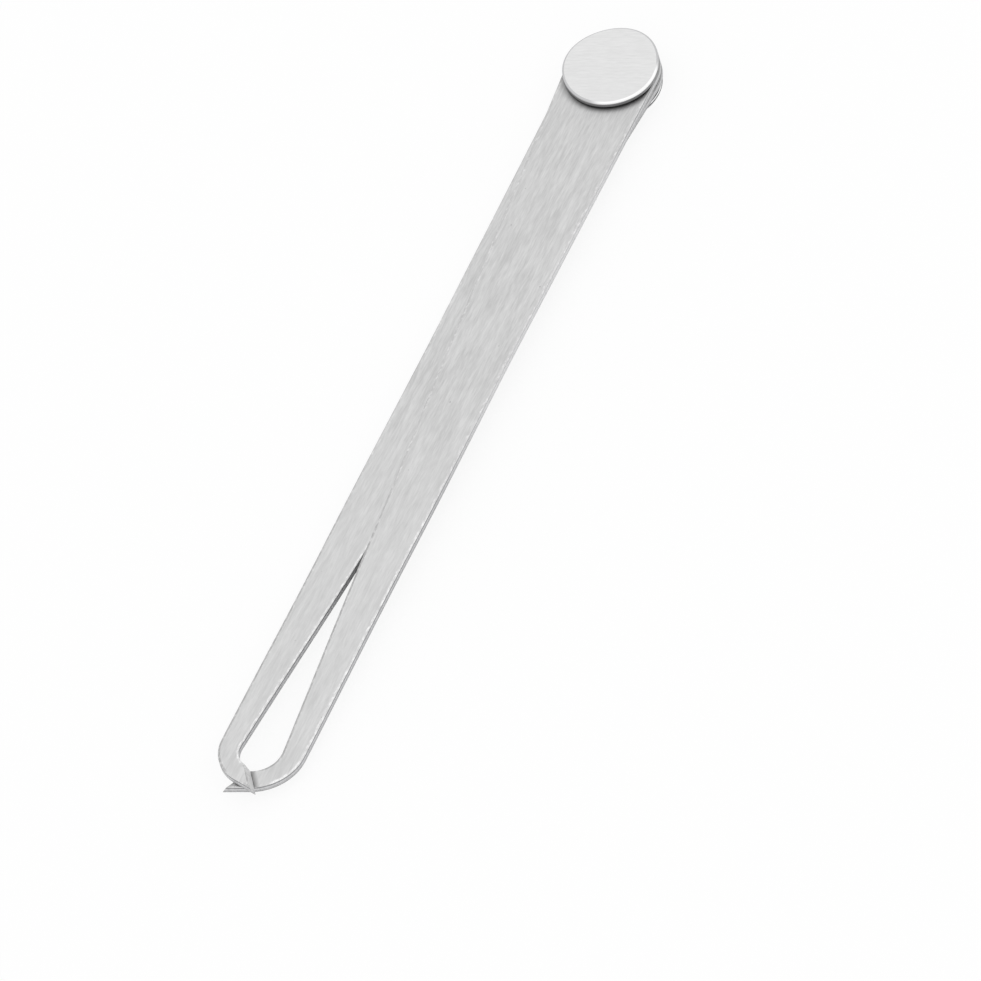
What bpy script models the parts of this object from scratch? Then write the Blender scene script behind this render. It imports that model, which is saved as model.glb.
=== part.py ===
"""Riveted outside caliper with two flat aluminium legs.

Lies flat: +Z is the front, where the rivet's wide head shows, and the points lie towards -Y.
The origin is on the pivot axis, in the plane of the rear disc's outer face.
"""

import math
from collections import namedtuple

import bmesh
import bpy
from mathutils import Matrix, Vector

# Leg blank: a round head, an outer edge parallel to the leg's axis and a tapered inner edge
LEG_THICKNESS = 0.0016
HEAD_RADIUS = 0.0099

# From the pivot to the points, and by how much the front leg's is the shorter
LEG_LENGTH = 0.19306
FRONT_SHORTFALL = 0.00028

# The legs are sheared, bent and ground by hand, so they differ a little. In order: the width
# where the hook starts, how far the outer edge closes past parallel, how far the leg bows
# outwards, the hook's radii, width and turn, and its straight end with the diagonal cut
BACK_WIDTH = 0.0046
BACK_TOE_IN = math.radians(0.42)
BACK_BOW = 0.00042
BACK_OUTER_RADIUS = 0.00925
BACK_INNER_RADIUS = 0.0044
BACK_HOOK_WIDTH = 0.00405
BACK_TURN = math.radians(71.5)
BACK_POINT_LENGTH = 0.00595
BACK_CUT_ANGLE = math.radians(33)
FRONT_WIDTH = 0.0048
FRONT_TOE_IN = math.radians(0.29)
FRONT_BOW = 0.00047
FRONT_OUTER_RADIUS = 0.0105
FRONT_INNER_RADIUS = 0.0060
FRONT_HOOK_WIDTH = 0.00425
FRONT_TURN = math.radians(75)
FRONT_POINT_LENGTH = 0.00595
FRONT_CUT_ANGLE = math.radians(30)

# The cut is bevelled so that the rear edge is the sharp one
END_BEVEL = 0.0008

# Arrises broken by tumbling
LEG_ARRIS = 0.00015

# Each leg bows outwards between this distance from the pivot and its hook
BOW_START = 0.0700

# Below the fork each leg is bent across into the other's plane, which it reaches past the hook's
# start
SET_END_STEP = 0.0050

# Rivet: head that stands a little proud of the legs' round heads, shank and a tail closed flush
# into the rear disc
RIVET_OVERHANG = 0.0003
RIVET_HEAD_RADIUS = HEAD_RADIUS + RIVET_OVERHANG
RIVET_HEAD_THICKNESS = 0.0013
RIVET_RIM_ROUND = 0.00045
RIVET_RIM_ARRIS = 0.00012
SHANK_RADIUS = 0.0030
TAIL_RADIUS = 0.0041
TAIL_DEPTH = 0.0007

# Rear disc, a little smaller than the legs' heads
REAR_DISC_STEP = 0.0004
REAR_DISC_RADIUS = HEAD_RADIUS - REAR_DISC_STEP
REAR_DISC_THICKNESS = 0.0009
REAR_DISC_ROUND = 0.00035

# Dished spring washer between back leg and rear disc
WASHER_STEP = 0.0025
WASHER_RADIUS = REAR_DISC_RADIUS - WASHER_STEP
WASHER_THICKNESS = 0.0003
WASHER_DISH = 0.0002

# Clearances
FACE_GAP = 0.0003
BORE_CLEARANCE = 0.0001
CUT_OVERRUN = 0.0010

# Facets, and the angles at which an edge is broken or shaded as sharp
HEAD_SEGMENTS = 44
HOOK_SEGMENTS = 14
BEND_ROWS = 32
TURNED_SEGMENTS = 80
ROUND_SEGMENTS = 4
ARRIS_ANGLE = math.radians(40)
SMOOTH_ANGLE = math.radians(30)
MERGE_DISTANCE = 0.0000001

# Heights of the stack, from the rear disc's outer face to the front
WASHER_Z = REAR_DISC_THICKNESS + FACE_GAP
BACK_LEG_Z = WASHER_Z + WASHER_THICKNESS + WASHER_DISH + FACE_GAP
FRONT_LEG_Z = BACK_LEG_Z + LEG_THICKNESS + FACE_GAP
RIVET_HEAD_Z = FRONT_LEG_Z + LEG_THICKNESS + FACE_GAP
FRONT_Z = RIVET_HEAD_Z + RIVET_HEAD_THICKNESS

Shape = namedtuple("Shape", (
    "hook_start", "width", "toe_in", "bow", "outer_radius", "inner_radius", "hook_width", "turn",
    "point_length", "cut_angle"))


def hook_start(length, outer_radius, turn, point_length):
    """Distance from the pivot at which the hook of a leg of the given length starts."""
    return length - outer_radius * math.sin(turn) - point_length * math.cos(turn)


BACK_SHAPE = Shape(
    hook_start(LEG_LENGTH, BACK_OUTER_RADIUS, BACK_TURN, BACK_POINT_LENGTH),
    BACK_WIDTH, BACK_TOE_IN, BACK_BOW, BACK_OUTER_RADIUS, BACK_INNER_RADIUS, BACK_HOOK_WIDTH,
    BACK_TURN, BACK_POINT_LENGTH, BACK_CUT_ANGLE)
FRONT_SHAPE = Shape(
    hook_start(LEG_LENGTH - FRONT_SHORTFALL, FRONT_OUTER_RADIUS, FRONT_TURN, FRONT_POINT_LENGTH),
    FRONT_WIDTH, FRONT_TOE_IN, FRONT_BOW, FRONT_OUTER_RADIUS, FRONT_INNER_RADIUS,
    FRONT_HOOK_WIDTH, FRONT_TURN, FRONT_POINT_LENGTH, FRONT_CUT_ANGLE)


def clear_scene():
    for old in list(bpy.data.objects):
        bpy.data.objects.remove(old, do_unlink=True)


def metal(name, color, roughness):
    """A bare metal with the colour and gloss seen in the photograph."""
    material = bpy.data.materials.new(name)
    material.use_nodes = True
    shader = material.node_tree.nodes["Principled BSDF"]
    shader.inputs["Base Color"].default_value = (*color, 1.0)
    shader.inputs["Metallic"].default_value = 1.0
    shader.inputs["Roughness"].default_value = roughness
    return material


def add_object(name, mesh, material):
    mesh.materials.append(material)
    obj = bpy.data.objects.new(name, mesh)
    bpy.context.collection.objects.link(obj)
    return obj


def arc(centre, radius, start, end, segments):
    """Points on an arc, both ends included, angles from +X."""
    points = []
    for i in range(segments + 1):
        angle = start + (end - start) * i / segments
        points.append(centre + radius * Vector((math.cos(angle), math.sin(angle))))
    return points


def crossing(point_a, dir_a, point_b, dir_b):
    """Where two lines in the plane meet."""
    det = dir_a.x * dir_b.y - dir_a.y * dir_b.x
    offset = point_b - point_a
    return point_a + dir_a * (offset.x * dir_b.y - offset.y * dir_b.x) / det


def inner_edge(shape):
    """A point on the leg's inner edge and its direction, down from the head it is tangent to."""
    low = Vector((shape.width - HEAD_RADIUS, -shape.hook_start))
    up = -low.normalized()
    up.rotate(Matrix.Rotation(-math.asin(HEAD_RADIUS / low.length), 2))
    return low, -up


def fork_distance():
    """Distance from the pivot at which the two inner edges would cross if nothing were bowed."""
    ends = []
    for shape in (BACK_SHAPE, FRONT_SHAPE):
        turn = Matrix.Rotation(shape.toe_in, 2)
        ends += [turn @ v for v in inner_edge(shape)]
    for v in ends[2:]:
        v.x = -v.x
    return -crossing(*ends).y


def hook_frame(shape):
    """The hook's end: outer arc centre, direction of its straight end, tip and inner corner."""
    centre = Vector((shape.outer_radius - HEAD_RADIUS, -shape.hook_start))
    along = Vector((math.sin(shape.turn), -math.cos(shape.turn)))
    arc_end = centre - shape.outer_radius * Vector((math.cos(shape.turn), math.sin(shape.turn)))
    tip = arc_end + shape.point_length * along
    cut_dir = Vector((math.sin(shape.cut_angle), -math.cos(shape.cut_angle)))
    corner = tip - cut_dir * shape.hook_width / math.sin(shape.turn - shape.cut_angle)
    return centre, along, tip, corner


def leg_outline(shape):
    """Outline of the leg blank, counter-clockwise, hook turned towards +X."""
    edge_point, down = inner_edge(shape)
    centre, along, tip, corner = hook_frame(shape)
    head_start = math.atan2(down.x, -down.y)
    head = arc(Vector((0, 0)), HEAD_RADIUS, head_start, math.pi, HEAD_SEGMENTS)
    outer = arc(centre, shape.outer_radius, math.pi, math.pi + shape.turn, HOOK_SEGMENTS)

    side_normal = Vector((-down.y, down.x))
    hook_normal = Vector((-along.y, along.x))
    fillet_centre = crossing(
        edge_point + side_normal * shape.inner_radius, down,
        corner + hook_normal * shape.inner_radius, along)
    start = math.atan2(-hook_normal.y, -hook_normal.x)
    end = math.atan2(-side_normal.y, -side_normal.x)
    if end > start:
        end -= math.tau
    inner = arc(fillet_centre, shape.inner_radius, start, end, HOOK_SEGMENTS)
    return head + outer + [tip, corner] + inner


def set_share(shape, distance):
    """Share of the way from one leg's plane to the other's at a distance from the pivot."""
    start, end = fork_distance(), shape.hook_start + SET_END_STEP
    share = min(max((distance - start) / (end - start), 0.0), 1.0)
    return share * share * (3 - 2 * share)


def bow_share(shape, distance):
    """Share of the bow at a distance from the pivot, largest half way along its range."""
    share = (distance - BOW_START) / (shape.hook_start - BOW_START)
    share = min(max(share, 0.0), 1.0)
    return 16 * (share * (1 - share)) ** 2


def leg_blank(shape):
    """The flat leg as it is sheared from the sheet."""
    bm = bmesh.new()
    points = leg_outline(shape)
    outline = bm.faces.new([bm.verts.new((p.x, p.y, 0.0)) for p in points])
    raised = bmesh.ops.extrude_face_region(bm, geom=[outline])
    top = [item for item in raised["geom"] if isinstance(item, bmesh.types.BMVert)]
    bmesh.ops.translate(bm, verts=top, vec=(0.0, 0.0, LEG_THICKNESS))
    bmesh.ops.recalc_face_normals(bm, faces=bm.faces[:])
    return bm


def break_arrises(bm, width):
    """Chamfer every square or sharper edge."""
    sharp = [e for e in bm.edges if e.calc_face_angle(0.0) > ARRIS_ANGLE]
    bmesh.ops.bevel(
        bm, geom=sharp, offset=width, offset_type="OFFSET", segments=1, profile=0.5,
        affect="EDGES", clamp_overlap=True)


def grind_end(bm, shape):
    """Cut the hook's end back towards the front face, leaving the rear edge where it is."""
    along, tip, corner = hook_frame(shape)[1:]
    root = corner - 2 * along * END_BEVEL / math.sin(shape.turn - shape.cut_angle)
    bmesh.ops.bisect_plane(
        bm, geom=bm.verts[:] + bm.edges[:] + bm.faces[:],
        plane_co=root.to_3d(), plane_no=along.to_3d())

    verts = {min(bm.verts, key=lambda v: (v.co - tip.to_3d()).length)}
    faces = set()
    while True:
        beside = {f for v in verts for f in v.link_faces} - faces
        beside = {f for f in beside if (f.calc_center_median().xy - root).dot(along) > 0}
        if not beside:
            break
        faces |= beside
        verts |= {v for f in beside for v in f.verts}
    edges = {e for f in faces for e in f.edges}
    outward = Vector((
        math.cos(shape.cut_angle), math.sin(shape.cut_angle), END_BEVEL / LEG_THICKNESS))
    bmesh.ops.bisect_plane(
        bm, geom=[*verts, *edges, *faces], dist=MERGE_DISTANCE,
        plane_co=tip.to_3d(), plane_no=outward, clear_outer=True)
    bmesh.ops.holes_fill(bm, edges=[e for e in bm.edges if e.is_boundary])


def cross_rows(bm, shape):
    """Rows of points across the leg where it is bowed and set from one plane to the other."""
    end = shape.hook_start + SET_END_STEP
    for i in range(BEND_ROWS + 1):
        distance = BOW_START + (end - BOW_START) * i / BEND_ROWS
        geom = bm.verts[:] + bm.edges[:] + bm.faces[:]
        bmesh.ops.bisect_plane(
            bm, geom=geom, plane_co=(0.0, -distance, 0.0), plane_no=(0.0, -1.0, 0.0))


def bore_cutter(name, radius, low, high):
    bm = bmesh.new()
    bmesh.ops.create_cone(
        bm, cap_ends=True, segments=TURNED_SEGMENTS, radius1=radius, radius2=radius,
        depth=high - low, matrix=Matrix.Translation((0.0, 0.0, (low + high) / 2)))
    mesh = bpy.data.meshes.new(name)
    bm.to_mesh(mesh)
    bm.free()
    cutter = bpy.data.objects.new(name, mesh)
    bpy.context.collection.objects.link(cutter)
    cutter.hide_render = True
    cutter.display_type = "WIRE"
    return cutter


def leg(name, height, set_by, mirrored, shape, material):
    """One leg, bored for the rivet and set across by the given height below the fork."""
    bm = leg_blank(shape)
    break_arrises(bm, LEG_ARRIS)
    grind_end(bm, shape)
    cross_rows(bm, shape)
    for vert in bm.verts:
        vert.co.x -= shape.bow * bow_share(shape, -vert.co.y)
        vert.co.z += set_by * set_share(shape, -vert.co.y)
    turn = Matrix.Rotation(shape.toe_in, 4, "Z")
    bmesh.ops.transform(bm, matrix=turn, verts=bm.verts[:])
    if mirrored:
        bmesh.ops.scale(bm, vec=(-1.0, 1.0, 1.0), verts=bm.verts[:])
    bmesh.ops.recalc_face_normals(bm, faces=bm.faces[:])
    mesh = bpy.data.meshes.new(name)
    bm.to_mesh(mesh)
    bm.free()
    obj = add_object(name, mesh, material)
    obj.location = (0.0, 0.0, height)

    cutter = bore_cutter(
        name + "_bore_cutter", SHANK_RADIUS + BORE_CLEARANCE,
        -CUT_OVERRUN, LEG_THICKNESS + CUT_OVERRUN)
    cutter.parent = obj
    bore = obj.modifiers.new("rivet_bore", "BOOLEAN")
    bore.operation = "DIFFERENCE"
    bore.solver = "EXACT"
    bore.object = cutter
    return obj


def turned(name, profile, material, closed=False):
    """A piece turned about Z from (radius, height) points, outer side top to bottom."""
    bm = bmesh.new()
    verts = [bm.verts.new((radius, 0.0, height)) for radius, height in profile]
    pairs = list(zip(verts, verts[1:]))
    if closed:
        pairs.append((verts[-1], verts[0]))
    edges = [bm.edges.new(pair) for pair in pairs]
    bmesh.ops.spin(
        bm, geom=verts + edges, cent=(0.0, 0.0, 0.0), axis=(0.0, 0.0, 1.0),
        angle=math.tau, steps=TURNED_SEGMENTS, use_merge=True)
    bmesh.ops.remove_doubles(bm, verts=bm.verts[:], dist=MERGE_DISTANCE)
    bmesh.ops.recalc_face_normals(bm, faces=bm.faces[:])
    mesh = bpy.data.meshes.new(name)
    bm.to_mesh(mesh)
    bm.free()
    mesh.shade_smooth()
    mesh.set_sharp_from_angle(angle=SMOOTH_ANGLE)
    return add_object(name, mesh, material)


def rounding(radius, height, size, start, end):
    """Profile points of a rounded edge about its centre."""
    centre = Vector((radius, height))
    return [tuple(p) for p in arc(centre, size, start, end, ROUND_SEGMENTS)]


def pivot_rivet(material):
    """Wide flat head with a rounded rim, plain shank and a tail closed into the rear disc."""
    rim = rounding(
        RIVET_HEAD_RADIUS - RIVET_RIM_ROUND, FRONT_Z - RIVET_RIM_ROUND, RIVET_RIM_ROUND,
        math.pi / 2, 0.0)
    profile = [(0.0, FRONT_Z)] + rim + [
        (RIVET_HEAD_RADIUS, RIVET_HEAD_Z + RIVET_RIM_ARRIS),
        (RIVET_HEAD_RADIUS - RIVET_RIM_ARRIS, RIVET_HEAD_Z),
        (SHANK_RADIUS, RIVET_HEAD_Z),
        (SHANK_RADIUS, TAIL_DEPTH),
        (TAIL_RADIUS, 0.0),
        (0.0, 0.0),
    ]
    return turned("pivot_rivet", profile, material)


def rear_disc(material):
    """Disc under the rivet's closed tail, countersunk to take it."""
    bore = SHANK_RADIUS + BORE_CLEARANCE
    sink = TAIL_RADIUS + FACE_GAP
    rim = rounding(
        REAR_DISC_RADIUS - REAR_DISC_ROUND, REAR_DISC_ROUND, REAR_DISC_ROUND,
        0.0, -math.pi / 2)
    profile = [
        (bore, REAR_DISC_THICKNESS),
        (REAR_DISC_RADIUS - RIVET_RIM_ARRIS, REAR_DISC_THICKNESS),
        (REAR_DISC_RADIUS, REAR_DISC_THICKNESS - RIVET_RIM_ARRIS),
    ] + rim + [
        (sink, 0.0),
        (bore, (sink - bore) * TAIL_DEPTH / (TAIL_RADIUS - SHANK_RADIUS)),
    ]
    return turned("rear_disc", profile, material, closed=True)


def spring_washer(material):
    """Thin dished washer that keeps the joint firm, its rim up against the back leg."""
    bore = SHANK_RADIUS + BORE_CLEARANCE
    profile = [
        (bore, WASHER_Z + WASHER_THICKNESS),
        (WASHER_RADIUS, WASHER_Z + WASHER_DISH + WASHER_THICKNESS),
        (WASHER_RADIUS, WASHER_Z + WASHER_DISH),
        (bore, WASHER_Z),
    ]
    return turned("spring_washer", profile, material, closed=True)


def main():
    clear_scene()
    sheet = metal("satin aluminium sheet", (0.62, 0.62, 0.62), 0.42)
    disc = metal("brushed aluminium disc", (0.75, 0.75, 0.75), 0.38)
    steel = metal("spring steel", (0.35, 0.35, 0.36), 0.35)
    crossing_height = FRONT_LEG_Z - BACK_LEG_Z
    leg("back_leg", BACK_LEG_Z, crossing_height, False, BACK_SHAPE, sheet)
    leg("front_leg", FRONT_LEG_Z, -crossing_height, True, FRONT_SHAPE, sheet)
    pivot_rivet(disc)
    rear_disc(disc)
    spring_washer(steel)


main()
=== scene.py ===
"""Looks for the riveted outside caliper: legs, rivet, rear disc, washer, stage and camera.

Written as an add-on and run as a script. Every length is in metres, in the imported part's frame:
+Z is the front, where the rivet's head shows, and the points lie towards -Y.
"""

import math
from collections import namedtuple

import bmesh
import bpy
from bpy.props import FloatProperty, FloatVectorProperty, PointerProperty, StringProperty
from bpy.types import Operator, Panel, PropertyGroup
from mathutils import Matrix, Vector
from mathutils.kdtree import KDTree


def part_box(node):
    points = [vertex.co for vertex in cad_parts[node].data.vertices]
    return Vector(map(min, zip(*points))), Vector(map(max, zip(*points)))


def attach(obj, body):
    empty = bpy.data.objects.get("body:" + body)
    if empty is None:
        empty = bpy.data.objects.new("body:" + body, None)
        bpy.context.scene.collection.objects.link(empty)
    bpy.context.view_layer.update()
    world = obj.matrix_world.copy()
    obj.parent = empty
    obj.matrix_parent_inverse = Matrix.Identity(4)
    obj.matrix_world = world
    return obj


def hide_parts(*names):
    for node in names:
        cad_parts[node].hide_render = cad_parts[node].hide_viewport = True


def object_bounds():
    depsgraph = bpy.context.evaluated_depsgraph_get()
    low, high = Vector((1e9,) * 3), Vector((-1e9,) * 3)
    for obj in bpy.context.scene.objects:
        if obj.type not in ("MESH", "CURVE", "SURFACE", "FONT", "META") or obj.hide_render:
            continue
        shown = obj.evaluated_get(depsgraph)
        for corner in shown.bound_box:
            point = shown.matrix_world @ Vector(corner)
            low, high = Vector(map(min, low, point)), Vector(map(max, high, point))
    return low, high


bl_info = {
    "name": "Riveted outside caliper",
    "version": (1, 0, 0),
    "blender": (4, 5, 0),
    "location": "View3D > Sidebar > Caliper",
    "description": "Builds a riveted sheet aluminium outside caliper around its packed solids",
    "category": "Object",
}

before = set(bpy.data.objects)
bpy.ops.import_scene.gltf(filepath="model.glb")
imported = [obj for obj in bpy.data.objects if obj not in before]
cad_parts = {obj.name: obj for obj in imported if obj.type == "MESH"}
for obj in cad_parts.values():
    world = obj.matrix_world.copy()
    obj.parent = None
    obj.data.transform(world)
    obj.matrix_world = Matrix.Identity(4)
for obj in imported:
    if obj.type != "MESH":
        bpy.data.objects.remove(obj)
CAD_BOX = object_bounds()

MM = 0.001
PICTURE_SIDE = 981


# Sizes, colours and the picture


def metres(name, description, default):
    """A property for a length."""
    return FloatProperty(name=name, description=description, default=default, unit="LENGTH")


def degrees(name, description, default):
    """A property for an angle, given in degrees and kept in radians."""
    return FloatProperty(
        name=name, description=description, default=math.radians(default), subtype="ANGLE")


def srgb(name, description, default):
    """A property for a colour."""
    return StringProperty(name=name, description=description + ", sRGB hex", default=default)


class CaliperSizes(PropertyGroup):
    """The caliper's own sizes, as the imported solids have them."""

    leg_thickness: metres("Leg thickness", "Gauge of the sheet", 0.0016)
    head_radius: metres("Head radius", "Round head of each leg", 0.0099)
    leg_length: metres("Leg length", "From the pivot to the back leg's point", 0.19306)
    front_shortfall: metres("Front shortfall", "How much shorter the front leg is", 0.00028)
    back_width: metres("Back width", "Back leg's width where its hook starts", 0.0046)
    back_toe_in: degrees(
        "Back toe-in", "How far the back leg's outer edge closes past parallel", 0.42)
    back_bow: metres("Back bow", "How far the back leg bows outwards", 0.00042)
    back_outer_radius: metres("Back outer radius", "Outer radius of the back leg's hook", 0.00925)
    back_inner_radius: metres("Back inner radius", "Inner radius of the back leg's hook", 0.0044)
    back_hook_width: metres("Back hook width", "Width of the back leg past its hook", 0.00405)
    back_turn: degrees("Back turn", "How far the back leg's hook turns inward", 71.5)
    back_point_length: metres("Back point", "Straight run of the back leg's point", 0.00595)
    back_cut_angle: degrees("Back cut", "Angle at which the back leg's end is ground", 33)
    front_width: metres("Front width", "Front leg's width where its hook starts", 0.0048)
    front_toe_in: degrees(
        "Front toe-in", "How far the front leg's outer edge closes past parallel", 0.29)
    front_bow: metres("Front bow", "How far the front leg bows outwards", 0.00047)
    front_outer_radius: metres(
        "Front outer radius", "Outer radius of the front leg's hook", 0.0105)
    front_inner_radius: metres(
        "Front inner radius", "Inner radius of the front leg's hook", 0.0060)
    front_hook_width: metres("Front hook width", "Width of the front leg past its hook", 0.00425)
    front_turn: degrees("Front turn", "How far the front leg's hook turns inward", 75)
    front_point_length: metres("Front point", "Straight run of the front leg's point", 0.00595)
    front_cut_angle: degrees("Front cut", "Angle at which the front leg's end is ground", 30)
    end_bevel: metres("End bevel", "How far the ground end leans back over the sheet", 0.0008)
    leg_arris: metres("Leg arris", "Width of the tumbled arris", 0.00015)
    bow_start: metres("Bow start", "From the pivot to where each leg starts to bow", 0.0700)
    set_end_step: metres("Set end", "From a hook's start to where its set ends", 0.0050)
    shank_radius: metres("Shank radius", "Rivet's shank", 0.0030)
    bore_clearance: metres("Bore clearance", "Gap between shank and bores", 0.0001)
    rivet_head_radius: metres("Rivet head radius", "Rivet's wide disc head", 0.0102)
    rim_round: metres("Rim rounding", "Rounding of the head's front rim", 0.00045)
    rear_disc_radius: metres("Rear disc radius", "Disc under the rivet's tail", 0.0095)
    rear_disc_round: metres("Rear disc rounding", "Rounding of the rear disc's outer edge", 0.00035)
    rear_arris: metres("Disc arris", "Small arris at the discs' inner edges", 0.00012)
    tail_radius: metres("Tail radius", "Rivet's closed tail", 0.0041)
    tail_depth: metres("Tail depth", "Depth of the countersink under the tail", 0.0007)
    washer_radius: metres("Washer radius", "Spring washer's outer radius", 0.0070)
    washer_thickness: metres("Washer thickness", "Gauge of the spring washer", 0.0003)
    washer_dish: metres("Washer dish", "How far the washer is dished", 0.0002)


class CaliperFinish(PropertyGroup):
    """Colours and surface sizes of the finishes."""

    sheet_light: srgb("Sheet light", "Lighter tone of the leg sheet", "DADADA")
    sheet_dark: srgb("Sheet dark", "Darker tone of the leg sheet", "C4C4C4")
    edge_light: srgb("Edge light", "Burnished belt of the sheared edge", "DCDCDD")
    edge_dark: srgb("Edge dark", "Top and bottom of the sheared edge", "9C9C9E")
    edge_torn: srgb("Edge torn", "Torn belt of the sheared edge", "CACACB")
    ground: srgb("Ground end", "Hand-ground ends of the hooks", "EEEEEE")
    # This light colour gives worn specks, the painted highlight on right-hand arrises and the
    # painted light on the sheared edge's belts.
    wear_and_highlight: srgb("Worn", "Bright specks on the arrises and rubbed edges", "F6F6F6")
    # This dark colour gives pits and the painted shade on left-hand arrises.
    pits_and_shade: srgb("Pit", "Small dark pits in the sheet and its dull arrises", "8C8C8C")
    # This dark colour is painted shade and painted shadow: in the fork, round the disc and beside
    # the crossed points.
    grime: srgb("Grime", "Oil and dust in the fork, round the disc and at the points", "4A4A4A")
    disc: srgb("Disc", "Brushed discs", "E6E6E6")
    # The rim's grey, darker than the disc's face, is painted shade.
    rim: srgb("Disc rim", "Buffed rims of the discs", "C6C6C7")
    # This near white is a painted highlight on one side of the rims.
    rim_highlight: srgb("Bright rim", "Where handling has polished the rims", "FBFBFB")
    # The wall's dark grey is painted shade under the rims.
    wall: srgb("Disc wall", "Turned wall under the discs' rims", "9C9C9D")
    steel: srgb("Steel", "Spring washer", "8A8A8C")
    floor: srgb("Floor", "Matte card that the caliper lies on", "FCFCFC")
    grain_width: metres("Grain width", "Width of a brushed line on the legs", 0.00032)
    grain_length: metres("Grain length", "Length of a brushed line on the legs", 0.0028)
    # Where the rims' painted highlight is centred, as a direction from the pivot.
    highlight_side: degrees(
        "Rubbed side", "Direction from the pivot of the rims' polished side", -37)
    shear_pitch: metres("Shear pitch", "Spacing of the marks across the sheared edge", 0.00035)


class CaliperPicture(PropertyGroup):
    """Camera and light."""

    floor_gap: metres("Floor gap", "Between the rear disc and the card", 0.00002)
    lens: FloatProperty(
        name="Lens", description="Focal length in millimetres", default=1600.0, unit="CAMERA")
    scale: FloatProperty(
        name="Scale", description="Pixels of the picture to a millimetre", default=4.9105)
    pivot: FloatVectorProperty(
        name="Pivot", description="Where the pivot stands in the picture, in pixels", size=2,
        default=(612.14, 69.44))
    tilt: degrees("Tilt", "Between the line of sight and the legs' faces' normal", 41.165)
    turn: degrees("Turn", "Camera's turn about the pivot axis", 36.573)
    roll: degrees("Roll", "Camera's roll about its line of sight", 17.175)
    world_light: FloatProperty(
        name="World light", description="Strength of the plain surrounding light", default=0.95)
    key_light: FloatProperty(
        name="Key light", description="Radiance of the softbox to the right", default=0.3)
    top_light: FloatProperty(
        name="Top light", description="Radiance of the softbox straight above", default=0.12)


# Mesh helpers


SHARP_ANGLE = math.radians(32)


def arc(centre, radius, start, end, segments):
    """Points on an arc, both ends included, angles from +X."""
    points = []
    for i in range(segments + 1):
        angle = start + (end - start) * i / segments
        points.append(centre + radius * Vector((math.cos(angle), math.sin(angle))))
    return points


def crossing(point_a, dir_a, point_b, dir_b):
    """Where two lines in the plane meet."""
    det = dir_a.x * dir_b.y - dir_a.y * dir_b.x
    offset = point_b - point_a
    return point_a + dir_a * (offset.x * dir_b.y - offset.y * dir_b.x) / det


def add_piece(name, mesh, body, slot, *nodes):
    """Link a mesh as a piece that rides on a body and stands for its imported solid."""
    piece = bpy.data.objects.new(name, mesh)
    bpy.context.scene.collection.objects.link(piece)
    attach(piece, body)
    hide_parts(*nodes)
    return piece


def with_edges(faces):
    """Faces with their edges and corners, for an operation on them alone."""
    return list({part for face in faces for part in (face, *face.edges, *face.verts)})


def to_mesh(name, bm, materials):
    """A mesh with its materials, smooth but for its sharp edges."""
    bmesh.ops.recalc_face_normals(bm, faces=bm.faces[:])
    mesh = bpy.data.meshes.new(name)
    bm.to_mesh(mesh)
    bm.free()
    for material in materials:
        mesh.materials.append(material)
    mesh.shade_smooth()
    mesh.set_sharp_from_angle(angle=SHARP_ANGLE)
    return mesh


# Legs


HEAD_STEPS = 120
HOOK_STEPS = 36
ARRIS_STEPS = 3
DRILL_STEPS = 96
LEG_ROWS = 140
ARRIS_ANGLE = math.radians(40)

# How much of its normal makes a face flat or a wall, or makes it face one way
FLAT_NORMAL = 0.99
WALL_NORMAL = 0.2
FACING = 0.5

# Material numbers of the sheared edge and the ground end
EDGE, GROUND = 1, 2

# Shares of the gauge at which loops run along the sheared edge, so that its belts show
EDGE_LOOPS = (0.28, 0.42, 0.72)

# Steps inwards from the arris and how much of the worn specks and of the painted highlight and
# shade is left there
WEAR_STEPS = ((0.00025, 0.7), (0.00045, 0.0))
# The share of its normal to one side, times this and up to 1, makes an arris a right-hand one with
# a painted highlight, or a left-hand one with painted shade
SIDE_GAIN = 1.5

# How far painted shade reaches down and up the inner edges in the narrow of the fork, from where
# the closed legs part, how wide a painted shadow lies beside the crossed points, and their share of
# the colour at both
FORK_SHADE_BELOW = 0.020
FORK_SHADE_ABOVE = 0.012
CROSSING_WIDTH = 0.0012
FORK_SHADE = 0.85
CROSSING_SHADOW = 0.7
# How far round the point the leg that it crosses gets its painted shadow
CROSSING_REACH = 8 * MM

Shape = namedtuple("Shape", (
    "width", "toe_in", "bow", "outer_radius", "inner_radius", "hook_width", "turn",
    "point_length", "cut_angle", "hook_start"))


def leg_shape(sizes, side):
    """The sizes of one leg, with the distance from the pivot at which its hook starts."""
    values = [getattr(sizes, side + "_" + key) for key in Shape._fields[:-1]]
    length = sizes.leg_length - (sizes.front_shortfall if side == "front" else 0.0)
    shape = Shape(*values, length)
    drop = shape.outer_radius * math.sin(shape.turn) + shape.point_length * math.cos(shape.turn)
    return shape._replace(hook_start=length - drop)


def inner_edge(sizes, shape):
    """A point on the leg's inner edge and its direction, down from the head it is tangent to."""
    low = Vector((shape.width - sizes.head_radius, -shape.hook_start))
    up = -low.normalized()
    up.rotate(Matrix.Rotation(-math.asin(sizes.head_radius / low.length), 2))
    return low, -up


def fork_distance(sizes):
    """Distance from the pivot at which the two inner edges would cross if nothing were bowed."""
    ends = []
    for side in ("back", "front"):
        shape = leg_shape(sizes, side)
        turn = Matrix.Rotation(shape.toe_in, 2)
        ends += [turn @ v for v in inner_edge(sizes, shape)]
    for v in ends[2:]:
        v.x = -v.x
    return -crossing(*ends).y


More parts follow.
